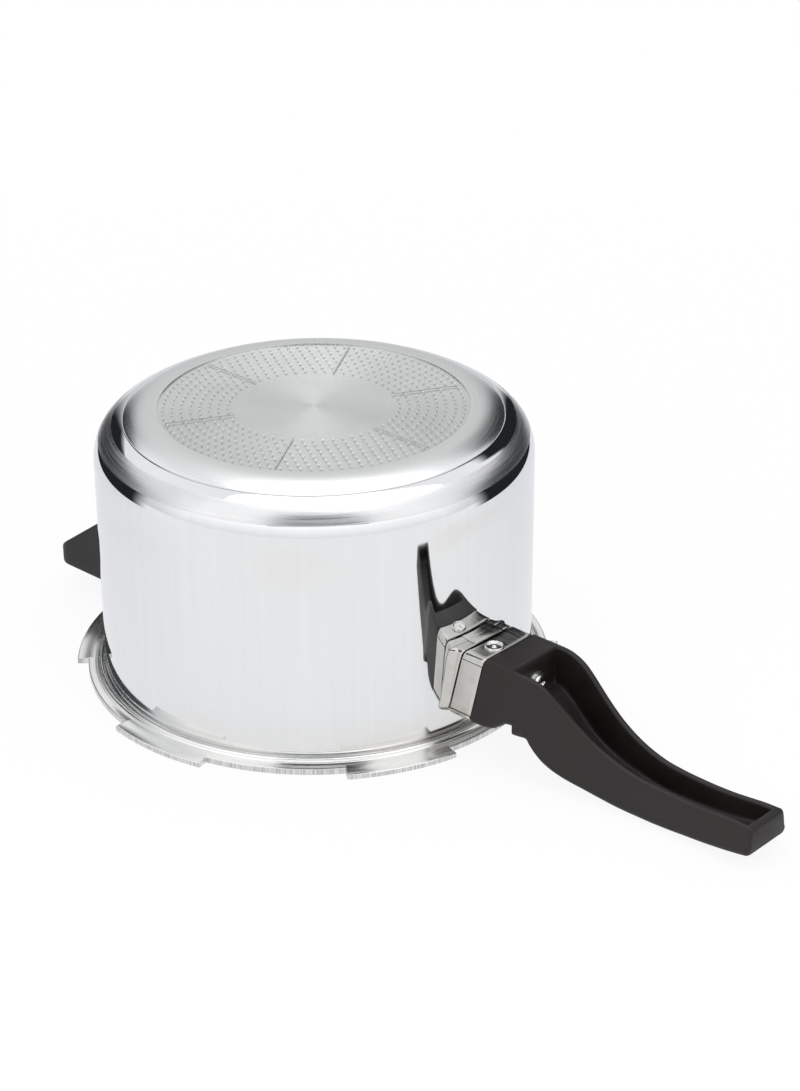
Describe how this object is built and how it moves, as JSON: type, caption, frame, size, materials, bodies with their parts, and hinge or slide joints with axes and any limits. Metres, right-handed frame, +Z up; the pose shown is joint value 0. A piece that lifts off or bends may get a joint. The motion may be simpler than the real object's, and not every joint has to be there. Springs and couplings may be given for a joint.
{
  "type": "pressure cooker pan",
  "caption": "Aluminium pan of an outer-lid stovetop pressure cooker, upside down on its lugged rim, with a long black handle and a helper handle.",
  "frame": {"origin": "centre of the mouth, in the plane of the rim that the upturned pan stands on", "axes": "+Z up through the base that faces up; +X along the long handle, away from the pan; the helper handle points along -X"},
  "size_m": [0.4455, 0.249, 0.142],
  "materials": {
    "polished_aluminium": "polished, near mirror",
    "turned_aluminium": "turned, polished at the edge",
    "turned_steel": "fine turned satin",
    "satin_steel": "satin",
    "rivet_metal": "satin",
    "zinc_steel": "zinc plated",
    "bright_steel": "bright plated",
    "black_phenolic": "matte moulded phenolic"
  },
  "bodies": {
    "root": {"pan_body": "polished_aluminium", "base_disc": "turned_aluminium", "induction_plate": "turned_steel", "handle_bracket": "satin_steel", "bracket_rivets": "rivet_metal", "bracket_nut": "zinc_steel", "handle_ferrule": "satin_steel", "ferrule_screw": "bright_steel", "long_grip": "black_phenolic", "grip_screw": "bright_steel", "grip_washer": "zinc_steel", "helper_bracket": "satin_steel", "helper_rivets": "rivet_metal", "helper_nut": "zinc_steel", "helper_grip": "black_phenolic", "helper_screw": "bright_steel", "helper_washer": "zinc_steel"}
  },
  "joints": []
}
